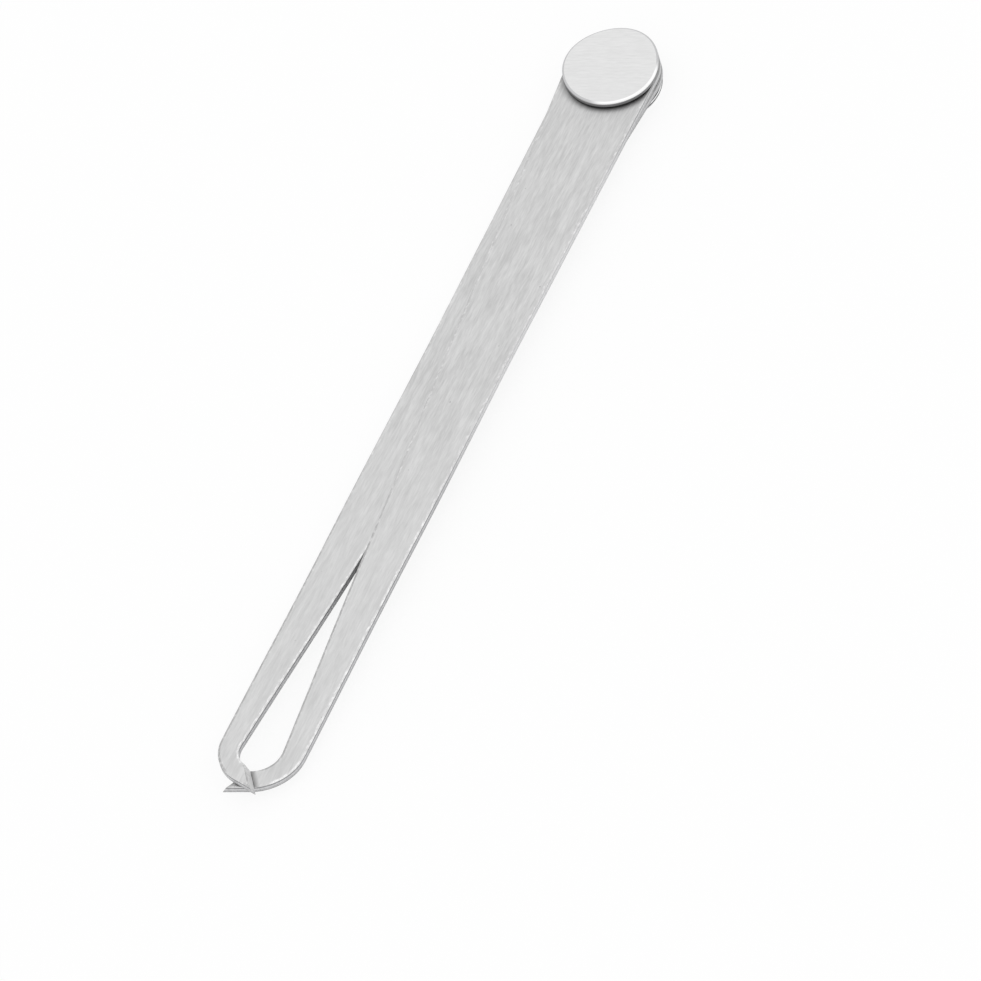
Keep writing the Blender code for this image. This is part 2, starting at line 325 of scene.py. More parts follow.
def hook_frame(sizes, shape):
    """The hook's end: outer arc centre, direction of its straight end, tip and inner corner."""
    centre = Vector((shape.outer_radius - sizes.head_radius, -shape.hook_start))
    along = Vector((math.sin(shape.turn), -math.cos(shape.turn)))
    arc_end = centre - shape.outer_radius * Vector((math.cos(shape.turn), math.sin(shape.turn)))
    tip = arc_end + shape.point_length * along
    cut_dir = Vector((math.sin(shape.cut_angle), -math.cos(shape.cut_angle)))
    corner = tip - cut_dir * shape.hook_width / math.sin(shape.turn - shape.cut_angle)
    return centre, along, tip, corner


def leg_outline(sizes, shape):
    """Outline of the leg, counter-clockwise, hook turned towards +X."""
    edge_point, down = inner_edge(sizes, shape)
    centre, along, tip, corner = hook_frame(sizes, shape)
    head = arc(
        Vector((0, 0)), sizes.head_radius, math.atan2(down.x, -down.y), math.pi, HEAD_STEPS)
    outer = arc(centre, shape.outer_radius, math.pi, math.pi + shape.turn, HOOK_STEPS)

    radius = shape.inner_radius
    side_normal = Vector((-down.y, down.x))
    hook_normal = Vector((-along.y, along.x))
    fillet_centre = crossing(
        edge_point + side_normal * radius, down, corner + hook_normal * radius, along)
    start = math.atan2(-hook_normal.y, -hook_normal.x)
    end = math.atan2(-side_normal.y, -side_normal.x)
    if end > start:
        end -= math.tau
    inner = arc(fillet_centre, radius, start, end, HOOK_STEPS)
    return head + outer + [tip, corner] + inner


def set_share(sizes, shape, distance):
    """Share of the way from one leg's plane to the other's at a distance from the pivot."""
    start, end = fork_distance(sizes), shape.hook_start + sizes.set_end_step
    share = min(max((distance - start) / (end - start), 0.0), 1.0)
    return share * share * (3 - 2 * share)


def bow_share(sizes, shape, distance):
    """Share of the bow at a distance from the pivot, largest half way along its range."""
    share = (distance - sizes.bow_start) / (shape.hook_start - sizes.bow_start)
    share = min(max(share, 0.0), 1.0)
    return (4 * share * (1 - share)) ** 2


def bored_blank(sizes, shape):
    """The flat leg with its rivet bore, as a bmesh."""
    bm = bmesh.new()
    points = leg_outline(sizes, shape)
    outline = bm.faces.new([bm.verts.new((p.x, p.y, 0.0)) for p in points])
    raised = bmesh.ops.extrude_face_region(bm, geom=[outline])
    top = [item for item in raised["geom"] if isinstance(item, bmesh.types.BMVert)]
    bmesh.ops.translate(bm, verts=top, vec=(0.0, 0.0, sizes.leg_thickness))
    bmesh.ops.recalc_face_normals(bm, faces=bm.faces[:])
    blank = bpy.data.objects.new("blank", bpy.data.meshes.new("blank"))
    bm.to_mesh(blank.data)
    bm.free()

    bm = bmesh.new()
    radius = sizes.shank_radius + sizes.bore_clearance
    bmesh.ops.create_cone(
        bm, cap_ends=True, segments=DRILL_STEPS, radius1=radius, radius2=radius,
        depth=3 * sizes.leg_thickness,
        matrix=Matrix.Translation((0.0, 0.0, sizes.leg_thickness / 2)))
    drill = bpy.data.objects.new("drill", bpy.data.meshes.new("drill"))
    bm.to_mesh(drill.data)
    bm.free()

    for obj in (blank, drill):
        bpy.context.scene.collection.objects.link(obj)
    bore = blank.modifiers.new("bore", "BOOLEAN")
    bore.operation = "DIFFERENCE"
    bore.solver = "EXACT"
    bore.object = drill
    graph = bpy.context.evaluated_depsgraph_get()
    bm = bmesh.new()
    bm.from_mesh(blank.evaluated_get(graph).to_mesh())
    for obj in (blank, drill):
        mesh = obj.data
        bpy.data.objects.remove(obj, do_unlink=True)
        bpy.data.meshes.remove(mesh)
    return bm


def break_arrises(bm, width):
    """Round the sheared blank's arrises as tumbling does."""
    sharp = [e for e in bm.edges if e.calc_face_angle(0.0) > ARRIS_ANGLE]
    bmesh.ops.bevel(
        bm, geom=sharp, offset=width, offset_type="OFFSET", segments=ARRIS_STEPS, profile=0.5,
        affect="EDGES", clamp_overlap=True)


def grind_end(bm, sizes, shape):
    """Cut the hook's end back towards the front face and mark the ground facet."""
    along, tip, corner = hook_frame(sizes, shape)[1:]
    root = corner - 2 * along * sizes.end_bevel / math.sin(shape.turn - shape.cut_angle)
    bmesh.ops.bisect_plane(
        bm, geom=bm.verts[:] + bm.edges[:] + bm.faces[:],
        plane_co=root.to_3d(), plane_no=along.to_3d())
    verts = {min(bm.verts, key=lambda v: (v.co - tip.to_3d()).length)}
    faces = set()
    while True:
        beside = {f for v in verts for f in v.link_faces} - faces
        beside = {f for f in beside if (f.calc_center_median().xy - root).dot(along) > 0}
        if not beside:
            break
        faces |= beside
        verts |= {v for f in beside for v in f.verts}
    outward = Vector((
        math.cos(shape.cut_angle), math.sin(shape.cut_angle),
        sizes.end_bevel / sizes.leg_thickness))
    bmesh.ops.bisect_plane(
        bm, geom=with_edges(faces), dist=MM * MM,
        plane_co=tip.to_3d(), plane_no=outward, clear_outer=True)
    return bmesh.ops.holes_fill(bm, edges=[e for e in bm.edges if e.is_boundary])["faces"]


def cut_rows(bm, low, high, rows):
    """Lines straight across the leg, from one distance from the pivot to another."""
    for i in range(rows + 1):
        distance = low + (high - low) * i / rows
        bmesh.ops.bisect_plane(
            bm, geom=bm.verts[:] + bm.edges[:] + bm.faces[:],
            plane_co=(0.0, -distance, 0.0), plane_no=(0.0, -1.0, 0.0))


def arris_bands(bm, right):
    """Loops inside the faces' outlines, and a layer that fades from 1 at right-hand arrises and
    from -1 at left-hand and ground ones to 0 inside them. Its size places the worn specks, and its
    sign gives the arris a painted highlight at 1 and painted shade at -1."""
    wear = bm.verts.layers.float.new("wear")
    flat = [f for f in bm.faces if abs(f.normal.z) > FLAT_NORMAL and not f.material_index]
    sheared = {v for f in bm.faces if abs(f.normal.z) < WALL_NORMAL for v in f.verts}
    tree = KDTree(len(sheared))
    light_sides = []
    for vert in sheared:
        tree.insert(vert.co, len(light_sides))
        ground = any(f.material_index for f in vert.link_faces)
        # The arris's side gives it a painted highlight at 1 or painted shade at -1; ground arrises
        # get painted shade.
        light_sides.append(-1.0 if ground else max(-1.0, min(1.0, SIDE_GAIN * right * vert.normal.x)))
    tree.balance()
    shares = {}
    for width, share in WEAR_STEPS:
        bmesh.ops.inset_region(
            bm, faces=flat, thickness=width, use_boundary=True, use_even_offset=True)
        shares.update({v: share for f in flat for v in f.verts})
    for vert in bm.verts:
        vert[wear] = shares.get(vert, 1.0) * light_sides[tree.find(vert.co)[1]]


def crossing_shadow(bm, sizes, grime):
    """Painted shadow on the front leg beside the back leg's ground end, which lies over it when
    closed.
    """
    shape = leg_shape(sizes, "back")
    tip = hook_frame(sizes, shape)[2]
    turn = Matrix.Rotation(shape.toe_in, 2)
    tip = (turn @ tip).to_3d()
    outward = (turn @ Vector((math.cos(shape.cut_angle), math.sin(shape.cut_angle)))).to_3d()
    for step in (-CROSSING_WIDTH, 0.0, CROSSING_WIDTH / 2, CROSSING_WIDTH):
        near = [
            f for f in bm.faces if (f.calc_center_median() - tip).xy.length < CROSSING_REACH]
        bmesh.ops.bisect_plane(
            bm, geom=with_edges(near), plane_co=tip + step * outward, plane_no=outward)
    for vert in bm.verts:
        away = vert.co - tip
        if away.xy.length < CROSSING_REACH and vert.normal.z > FACING:
            away = abs(away.dot(outward)) / CROSSING_WIDTH
            vert[grime] = CROSSING_SHADOW * max(1.0 - away, 0.0)


def leg_mesh(name, sizes, height, set_by, side, materials):
    """One finished leg: bored, tumbled, ground at the point, bowed and set across."""
    shape = leg_shape(sizes, side)
    bm = bored_blank(sizes, shape)
    break_arrises(bm, sizes.leg_arris)
    for face in grind_end(bm, sizes, shape):
        face.material_index = GROUND
    arris_bands(bm, 1 if side == "back" else -1)

    thickness = sizes.leg_thickness
    for face in bm.faces:
        if abs(face.normal.z) < WALL_NORMAL and not face.material_index:
            face.material_index = EDGE
    for share in EDGE_LOOPS:
        wall = [f for f in bm.faces if f.material_index == EDGE]
        bmesh.ops.bisect_plane(
            bm, geom=with_edges(wall), plane_co=(0.0, 0.0, thickness * share),
            plane_no=(0.0, 0.0, 1.0))
    cut_rows(bm, sizes.head_radius, shape.hook_start + sizes.set_end_step, LEG_ROWS)

    belt = bm.verts.layers.float.new("belt")
    grime = bm.verts.layers.float.new("grime")
    inner = {
        v for f in bm.faces if f.material_index == EDGE and f.normal.x > FACING for v in f.verts}
    fork = fork_distance(sizes)
    for vert in bm.verts:
        distance = -vert.co.y
        vert[belt] = vert.co.z / thickness
        # Painted shade on the inner edges in the narrow of the fork
        if vert in inner:
            past = (distance - fork) / (FORK_SHADE_BELOW if distance > fork else -FORK_SHADE_ABOVE)
            vert[grime] = FORK_SHADE * max(1.0 - past, 0.0)
        vert.co.x -= shape.bow * bow_share(sizes, shape, distance)
        vert.co.z += height + set_by * set_share(sizes, shape, distance)
    bmesh.ops.transform(bm, matrix=Matrix.Rotation(shape.toe_in, 4, "Z"), verts=bm.verts[:])
    if side == "front":
        bmesh.ops.scale(bm, vec=(-1.0, 1.0, 1.0), verts=bm.verts[:])
        bmesh.ops.reverse_faces(bm, faces=bm.faces[:])
        bm.normal_update()
        crossing_shadow(bm, sizes, grime)
    return to_mesh(name, bm, materials)


# Turned pieces


TURN_STEPS = 180
RIM_STEPS = 8
WASHER_STEPS = 8

# Shares of the flat face's radius at which loops run round it
FACE_LOOPS = (0.0, 0.25, 0.5, 0.75, 0.92)

# Material numbers of the discs
FACE, RIM, WALL = range(3)

# The disc head was trimmed by hand and isn't quite round: a share of its radius filed off, and
# waves round it by number, share of the radius and phase
DISC_FILED_OFF = 0.012
DISC_WAVES = (
    (1, 0.0185, math.radians(-77)), (3, 0.0125, math.radians(-153)), (4, 0.0065, math.radians(-42)))


def disc_stretch(angle):
    """Share of its radius that the hand-filed disc head has in one direction."""
    waves = sum(share * math.cos(n * angle - phase) for n, share, phase in DISC_WAVES)
    return 1.0 - DISC_FILED_OFF + waves


def turned_mesh(name, profile, materials, bands=(), closed=False, hand_filed=False):
    """A piece turned about Z from (radius, height) points; bands give later materials by rows."""
    bm = bmesh.new()
    rows = []
    largest = max(radius for radius, height in profile)
    turns = [math.tau * i / TURN_STEPS for i in range(TURN_STEPS)]
    for radius, height in profile:
        if radius < MM * MM:
            rows.append([bm.verts.new((0.0, 0.0, height))])
            continue
        # Filing changes the rim in full and the inner half of the radius not at all.
        weight = max(radius / largest - 0.5, 0.0) * 2 if hand_filed else 0.0
        rows.append([])
        for turn in turns:
            stretch = 1 + weight * (disc_stretch(turn) - 1)
            rows[-1].append(bm.verts.new((
                radius * math.cos(turn) * stretch, radius * math.sin(turn) * stretch, height)))
    pairs = list(zip(rows, rows[1:]))
    if closed:
        pairs.append((rows[-1], rows[0]))
    for index, (a, b) in enumerate(pairs):
        for i in range(TURN_STEPS):
            j = (i + 1) % TURN_STEPS
            corners = [a[i % len(a)], a[j % len(a)], b[j % len(b)], b[i % len(b)]]
            face = bm.faces.new(list(dict.fromkeys(corners)))
            face.material_index = bands[index] if index < len(bands) else FACE
    return to_mesh(name, bm, materials)


# Materials


# Marks to a metre along X, Y and Z, with the size of a mark
CLOUDS = (450.0, 110.0, 450.0)  # 2 mm by 9 mm of leg
SPECKS = (2400.0, 800.0, 2400.0)  # 0.4 mm by 1.2 mm of leg
PIT_CELLS = (260.0, 200.0, 260.0)  # 4 mm by 5 mm, few of which hold a pit in the face
GRINDING = (1500.0, 4000.0, 1000.0)  # 0.25 mm across, 1 mm down the facet
BRUSHING = (400.0, 2600.0, 2600.0)  # 2.5 mm by 0.4 mm of disc
BUFFING = (150.0, 150.0, 9000.0)  # 0.1 mm along Z
TURNING = (500.0, 500.0, 7000.0)  # 0.15 mm along Z, 2 mm round the disc
ROLLING = (2500.0, 200.0, 2500.0)  # 0.4 mm by 5 mm of strip

BRUSHED_TURN = math.radians(14)

# Distances from the pivot between which a finish changes
GRAIN_FADES = {"From Min": 0.085, "From Max": 0.130}
ARRISES_START = {"From Min": 0.105, "From Max": 0.130}
# Where the sheared edge's painted light fades out towards the points and in from the head
EDGES_LIGHT_TO = {"From Min": 0.115, "From Max": 0.085}
EDGES_LIGHT_FROM = {"From Min": 0.012, "From Max": 0.030}
# Between these distances the painted shade round the disc fades in
SHADE_RING = {"From Min": 0.0120, "From Max": 0.0098}

# The sheared edge's colours, by share of the gauge from its rear side
BELTS = (
    (0.12, "edge_dark"), (0.20, "edge_torn"), (0.40, "edge_torn"), (0.55, "edge_light"),
    (0.64, "edge_light"), (0.76, "edge_dark"))

# Shares of the caliper's shadow that the card keeps to the camera, and of itself in the metal
SHADOW_KEPT = 0.12
CARD_IN_METAL = 0.9
WHITE = (1.0, 1.0, 1.0, 1.0)


def linear(hex_colour):
    """An sRGB hex colour as linear RGBA."""
    parts = [int(hex_colour[i:i + 2], 16) / 255 for i in (0, 2, 4)]
    return (*[c / 12.92 if c <= 0.04045 else ((c + 0.055) / 1.055) ** 2.4 for c in parts], 1.0)


def add_node(tree, kind, settings=None, inputs=None, links=None):
    """One node with its settings, its inputs' values and the sockets that feed it."""
    node = tree.nodes.new(kind)
    for key, value in (settings or {}).items():
        setattr(node, key, value)
    for key, value in (inputs or {}).items():
        node.inputs[key].default_value = value
    for key, socket in (links or {}).items():
        tree.links.new(socket, node.inputs[key])
    return node


def from_pivot(tree, operation):
    """Distance or direction from the pivot axis, by LENGTH or NORMALIZE."""
    coords = add_node(tree, "ShaderNodeTexCoord")
    flat = add_node(
        tree, "ShaderNodeVectorMath", {"operation": "MULTIPLY"}, {1: (1.0, 1.0, 0.0)},
        {0: coords.outputs["Object"]})
    reach = add_node(
        tree, "ShaderNodeVectorMath", {"operation": operation}, {}, {0: flat.outputs[0]})
    return reach.outputs["Value" if operation == "LENGTH" else "Vector"]


def stretched(tree, scale, turn=0.0):
    """Object coordinates turned about Z and scaled, for marks that run one way."""
    coords = add_node(tree, "ShaderNodeTexCoord")
    turned = add_node(
        tree, "ShaderNodeMapping", {"vector_type": "TEXTURE"},
        {"Rotation": (0.0, 0.0, turn)}, {"Vector": coords.outputs["Object"]})
    return add_node(
        tree, "ShaderNodeMapping", {}, {"Scale": scale}, {"Vector": turned.outputs[0]}).outputs[0]


def mark(tree, shader, where, noise, shade, relief):
    """Fine marks that shade the shader's colour and stand up: the marks and the tone."""
    marks = add_node(
        tree, "ShaderNodeTexNoise", {}, {"Scale": 1.0, **noise}, {"Vector": where}).outputs["Fac"]
    strength = add_node(tree, "ShaderNodeMapRange", {}, shade, {"Value": marks})
    tone = add_node(
        tree, "ShaderNodeVectorMath", {"operation": "SCALE"},
        {0: shader.inputs["Base Color"].default_value[:3]}, {"Scale": strength.outputs[0]})
    bump = add_node(tree, "ShaderNodeBump", {}, relief, {"Height": marks})
    tree.links.new(tone.outputs[0], shader.inputs["Base Color"])
    tree.links.new(bump.outputs[0], shader.inputs["Normal"])
    return marks, tone


def stain(tree, shader, tone, *layers):
    """Colours laid over a tone one after another, each by its share."""
    for colour, share in layers:
        tone = add_node(
            tree, "ShaderNodeMix", {"data_type": "RGBA"}, {"B": linear(colour)},
            {"Factor": share, "A": tone}).outputs["Result"]
    tree.links.new(tone, shader.inputs["Base Color"])


def sheet_face(tree, shader, finish):
    """Satin aluminium sheet."""
    # Rolled 5000-series sheet, brushed along its length and tumbled. The eye gets a soft grey
    # with fine lines along the leg, faint cloudy patches, small pits and bright specks where
    # the arrises are worn by handling. Brushed lines are about 0.05 mm wide on the real sheet
    # and are drawn as coarse as 0.3 mm, because finer ones don't show at this picture's five
    # pixels to a millimetre.
    wide, long = 1 / finish.grain_width, 1 / finish.grain_length
    lines, bands, clouds, grit = (
        add_node(
            tree, "ShaderNodeTexNoise", {},
            {"Scale": 1.0, "Detail": detail, "Roughness": roughness},
            {"Vector": stretched(tree, scale)}).outputs["Fac"]
        for scale, detail, roughness in (
            ((wide, long, wide), 2.0, 0.6), ((wide / 3, long / 4, wide / 3), 2.0, 0.5),
            (CLOUDS, 3.0, 0.6), (SPECKS, 3.0, 0.6)))
    total = bands
    for weight, pattern in ((1.2, lines), (0.7, clouds)):
        total = add_node(
            tree, "ShaderNodeMath", {"operation": "MULTIPLY_ADD"}, {1: weight},
            {0: pattern, 2: total}).outputs[0]
    # The tumbling has left less of the grain on the narrow ends.
    reach = from_pivot(tree, "LENGTH")
    tumbled = add_node(
        tree, "ShaderNodeMapRange", {}, {**GRAIN_FADES, "To Max": 0.30}, {"Value": reach})
    share = add_node(
        tree, "ShaderNodeMapRange", {}, {"From Min": 1.08, "From Max": 1.82},
        {"Value": total, "To Min": tumbled.outputs[0]})
    tone = add_node(
        tree, "ShaderNodeMix", {"data_type": "RGBA"},
        {"A": linear(finish.sheet_dark), "B": linear(finish.sheet_light)},
        {"Factor": share.outputs[0]})

    # Right-hand arrises get a painted highlight and left-hand ones painted shade, as light from the
    # right would give.
    # Both are painted fainter above the fork. Worn specks lie within 0.7 mm of both.
    wear = add_node(tree, "ShaderNodeAttribute", {"attribute_name": "wear"}).outputs["Fac"]
    kept = add_node(
        tree, "ShaderNodeMapRange", {}, {**ARRISES_START, "To Min": 0.25}, {"Value": reach})
    arrises = []
    for side, broken in (
            ({"From Min": 0.7}, {"From Min": 0.34, "From Max": 0.60, "To Max": 0.7}),
            ({"From Min": -0.75, "From Max": -1.0},
             {"From Min": 0.64, "From Max": 0.36, "To Min": 0.25, "To Max": 0.6})):
        arris = add_node(
            tree, "ShaderNodeMapRange", {}, side, {"Value": wear, "To Max": kept.outputs[0]})
        gaps = add_node(tree, "ShaderNodeMapRange", {}, broken, {"Value": grit})
        arrises.append(add_node(
            tree, "ShaderNodeMath", {"operation": "MULTIPLY"}, {},
            {0: arris.outputs[0], 1: gaps.outputs[0]}).outputs[0])
    lit_arris, shaded_arris = arrises
    near = add_node(tree, "ShaderNodeMath", {"operation": "ABSOLUTE"}, {}, {0: wear})
    specks = add_node(
        tree, "ShaderNodeMapRange", {}, {"From Min": 0.52, "From Max": 0.66, "To Max": 0.5},
        {"Value": grit})
    bright = add_node(
        tree, "ShaderNodeMath", {"operation": "MULTIPLY_ADD"}, {},
        {0: specks.outputs[0], 1: near.outputs[0], 2: lit_arris})
    # Painted shade lies in a soft ring 2 mm wide round the disc, and a painted shadow beside the
    # crossed points.
    shade_ring = add_node(
        tree, "ShaderNodeMapRange", {"interpolation_type": "SMOOTHSTEP"},
        {**SHADE_RING, "To Max": 0.55}, {"Value": reach})
    grime = add_node(tree, "ShaderNodeAttribute", {"attribute_name": "grime"})
    # Pits of up to 0.4 mm, about a dozen to a leg.
    cells = add_node(
        tree, "ShaderNodeTexVoronoi", {}, {"Scale": 1.0, "Randomness": 1.0},
        {"Vector": stretched(tree, PIT_CELLS)})
    pits = add_node(
        tree, "ShaderNodeMapRange", {}, {"From Min": 0.055, "From Max": 0.025, "To Max": 0.5},
        {"Value": cells.outputs["Distance"]})
    # Worn specks with the painted highlight, painted shade on left-hand arrises, painted shade
    # round the disc, painted shadow beside the points, then pits
    stain(
        tree, shader, tone.outputs["Result"], (finish.wear_and_highlight, bright.outputs[0]),
        (finish.pits_and_shade, shaded_arris), (finish.grime, shade_ring.outputs[0]), (finish.grime, grime.outputs["Fac"]),
        (finish.pits_and_shade, pits.outputs[0]))
    rough = add_node(
        tree, "ShaderNodeMapRange", {}, {"To Min": 0.46, "To Max": 0.36}, {"Value": lines})
    bump = add_node(
        tree, "ShaderNodeBump", {}, {"Strength": 0.25, "Distance": 0.02 * MM}, {"Height": lines})
    tree.links.new(rough.outputs[0], shader.inputs["Roughness"])
    tree.links.new(bump.outputs[0], shader.inputs["Normal"])


def sheared_edge(tree, shader, finish):
    """Sheared and tumbled edge of the sheet."""
    # Blanking leaves a burnished belt and rougher torn belts along the edge, with fine marks
    # straight across it. The eye gets a lighter line between two darker ones.
    shader.inputs["Roughness"].default_value = 0.46
    belt = add_node(tree, "ShaderNodeAttribute", {"attribute_name": "belt"})
    ramp = add_node(tree, "ShaderNodeValToRGB", {}, {}, {"Fac": belt.outputs["Fac"]})
    stops = ramp.color_ramp.elements
    stops.remove(stops[1])
    for index, (position, tone) in enumerate(BELTS):
        stop = stops.new(position) if index else stops[0]
        stop.position, stop.color = position, linear(getattr(finish, tone))
    pitch = 1 / finish.shear_pitch
    tone = mark(
        tree, shader, stretched(tree, (pitch, pitch, pitch / 8)),
        {"Detail": 2.0, "Roughness": 0.6}, {"To Min": 0.70, "To Max": 1.20},
        {"Strength": 0.4, "Distance": 0.03 * MM})[1]
    tree.links.new(ramp.outputs["Color"], tone.inputs[0])
    # The belts are painted paler between the head and the fork: painted light, for the lighter look
    # of the edge there.
    reach = from_pivot(tree, "LENGTH")
    painted_light_share = add_node(
        tree, "ShaderNodeMapRange", {}, {**EDGES_LIGHT_TO, "To Max": 0.55}, {"Value": reach})
    painted_light_share = add_node(
        tree, "ShaderNodeMapRange", {}, {**EDGES_LIGHT_FROM, "To Min": 0.15},
        {"Value": reach, "To Max": painted_light_share.outputs[0]})
    # Painted shade lies in the narrow of the fork and thins out within 20 mm.
    grime = add_node(tree, "ShaderNodeAttribute", {"attribute_name": "grime"})
    stain(
        tree, shader, tone.outputs[0], (finish.wear_and_highlight, painted_light_share.outputs[0]),
        (finish.grime, grime.outputs["Fac"]))


def ground_end(tree, shader, finish):
    """Hand-ground end of a hook."""
    # Ground on a fine wheel, with short marks down the facet. The eye gets a flat, bright patch.
    # The grit is about 0.1 mm, and its marks are drawn 0.25 mm apart so that they show.
    shader.inputs["Base Color"].default_value = linear(finish.ground)
    shader.inputs["Roughness"].default_value = 0.42
    mark(
        tree, shader, stretched(tree, GRINDING), {"Detail": 2.0, "Roughness": 0.5},
        {"To Min": 0.80, "To Max": 1.15}, {"Strength": 0.4, "Distance": 0.02 * MM})


def brushed_disc(tree, shader, finish):
    """Finely brushed aluminium disc."""
    # Brushed one way on a belt before the rivet was set. The eye gets a paler, smoother face
    # than the legs', with faint long lines across it. Lines of about 0.05 mm are drawn 0.4 mm
    # wide so that they show.
    shader.inputs["Base Color"].default_value = linear(finish.disc)
    marks = mark(
        tree, shader, stretched(tree, BRUSHING, BRUSHED_TURN), {"Detail": 3.0, "Roughness": 0.6},
        {"From Min": 0.25, "From Max": 0.75, "To Min": 0.92, "To Max": 1.02},
        {"Strength": 0.12, "Distance": 0.02 * MM})[0]
    rough = add_node(
        tree, "ShaderNodeMapRange", {}, {"To Min": 0.36, "To Max": 0.26}, {"Value": marks})
    tree.links.new(rough.outputs[0], shader.inputs["Roughness"])


def buffed_rim(tree, shader, finish):
    """Buffed rim of the discs."""
    # Rounded over and buffed. Its grey is painted darker than the face as painted shade, and a
    # painted highlight gives the eye a narrow bright line on one side of the disc.
    shader.inputs["Roughness"].default_value = 0.30
    feed = add_node(
        tree, "ShaderNodeTexNoise", {}, {"Scale": 1.0, "Detail": 1.0},
        {"Vector": stretched(tree, BUFFING)})
    bump = add_node(
        tree, "ShaderNodeBump", {}, {"Strength": 0.15, "Distance": 0.01 * MM},
        {"Height": feed.outputs["Fac"]})
    # A painted highlight, over about 100 degrees round one side, brightens the rim.
    side = (math.cos(finish.highlight_side), math.sin(finish.highlight_side), 0.0)
    facing = add_node(
        tree, "ShaderNodeVectorMath", {"operation": "DOT_PRODUCT"}, {1: side},
        {0: from_pivot(tree, "NORMALIZE")})
    painted_light_share = add_node(
        tree, "ShaderNodeMapRange", {"interpolation_type": "SMOOTHSTEP"},
        {"From Min": 0.52, "From Max": 0.78}, {"Value": facing.outputs["Value"]})
    tone = add_node(
        tree, "ShaderNodeMix", {"data_type": "RGBA"},
        {"A": linear(finish.rim), "B": linear(finish.rim_highlight)},
        {"Factor": painted_light_share.outputs[0]})
    tree.links.new(tone.outputs["Result"], shader.inputs["Base Color"])
    tree.links.new(bump.outputs[0], shader.inputs["Normal"])


def turned_wall(tree, shader, finish):
    """Turned wall of the discs, left as the tool cut it."""
    # Cut with a coarse feed and not buffed. Its dark grey is painted shade, which gives the eye a
    # darker, broken line under the bright rim.
    shader.inputs["Base Color"].default_value = linear(finish.wall)
    shader.inputs["Roughness"].default_value = 0.40
    mark(
        tree, shader, stretched(tree, TURNING), {"Detail": 2.0, "Roughness": 0.6},
        {"To Min": 0.62, "To Max": 1.25}, {"Strength": 0.4, "Distance": 0.03 * MM})


def spring_steel(tree, shader, finish):
    """Rolled spring steel."""
    # Thin cold-rolled strip, lightly oiled. The eye gets a dark, even grey in the gap.
    shader.inputs["Roughness"].default_value = 0.35
    lines = add_node(
        tree, "ShaderNodeTexNoise", {}, {"Scale": 1.0, "Detail": 2.0},
        {"Vector": stretched(tree, ROLLING)})
    tone = add_node(
        tree, "ShaderNodeMix", {"data_type": "RGBA", "blend_type": "MULTIPLY"},
        {"Factor": 0.25, "A": linear(finish.steel)}, {"B": lines.outputs["Color"]})
    tree.links.new(tone.outputs["Result"], shader.inputs["Base Color"])


def seen_in_metal(tree, path):
    """1 for rays off metal and through glass."""
    return add_node(
        tree, "ShaderNodeMath", {"operation": "MAXIMUM"}, {},
        {0: path.outputs["Is Glossy Ray"], 1: path.outputs["Is Transmission Ray"]}).outputs[0]


def white_card(tree, shader, finish):
    """Matte white card that keeps a share of the caliper's shadow, and more of it in metal."""
    # Uncoated card. It is plain white to the camera and near white in the metal, with a soft
    # shadow that darkens the metal close to it.
    shader.inputs["Base Color"].default_value = linear(finish.floor)
    shader.inputs["Metallic"].default_value = 0.0
    shader.inputs["Roughness"].default_value = 0.9
    path = add_node(tree, "ShaderNodeLightPath")
    metal = add_node(
        tree, "ShaderNodeMath", {"operation": "MULTIPLY"}, {1: 1 - CARD_IN_METAL},
        {0: seen_in_metal(tree, path)})
    share = add_node(
        tree, "ShaderNodeMath", {"operation": "MULTIPLY_ADD"}, {1: 1 - SHADOW_KEPT},
        {0: path.outputs["Is Camera Ray"], 2: metal.outputs[0]})
    white = add_node(tree, "ShaderNodeEmission", {}, {"Color": WHITE, "Strength": 1.0})
    mix = add_node(
        tree, "ShaderNodeMixShader", {}, {},
        {0: share.outputs[0], 1: shader.outputs[0], 2: white.outputs[0]})
    tree.links.new(mix.outputs[0], tree.nodes["Material Output"].inputs["Surface"])


FINISHES = {
    "Aluminium sheet, brushed and tumbled": sheet_face,
    "Aluminium sheet, sheared edge": sheared_edge,
    "Aluminium, ground on a fine wheel": ground_end,
    "Aluminium disc, belt brushed": brushed_disc,
    "Aluminium disc, buffed rim": buffed_rim,
    "Aluminium disc, turned wall": turned_wall,
    "Spring steel, cold rolled": spring_steel,
    "Matte white card": white_card,
}
ON_LEGS = tuple(FINISHES)[:3]
ON_DISCS = tuple(FINISHES)[3:6]


def finishes(*names):
    """Materials by name, each made when it is first asked for. They start as bare metal."""
    for name in names:
        if name not in bpy.data.materials:
            material = bpy.data.materials.new(name)
            material.use_nodes = True
            shader = material.node_tree.nodes["Principled BSDF"]
            shader.inputs["Metallic"].default_value = 1.0
            FINISHES[name](material.node_tree, shader, bpy.context.scene.caliper_finish)
    return [bpy.data.materials[name] for name in names]


# Operators


FLOOR_SIZE = 12.0
SENSOR_WIDTH = 36.0

# The softboxes' places and sides, and where they aim
SOFTBOXES = {"key": ((0.75, 0.75, 0.85), 0.5), "top": ((-0.10, -0.05, 1.10), 0.6)}
LIT_POINT = Vector((0.0, -0.09, 0.0))


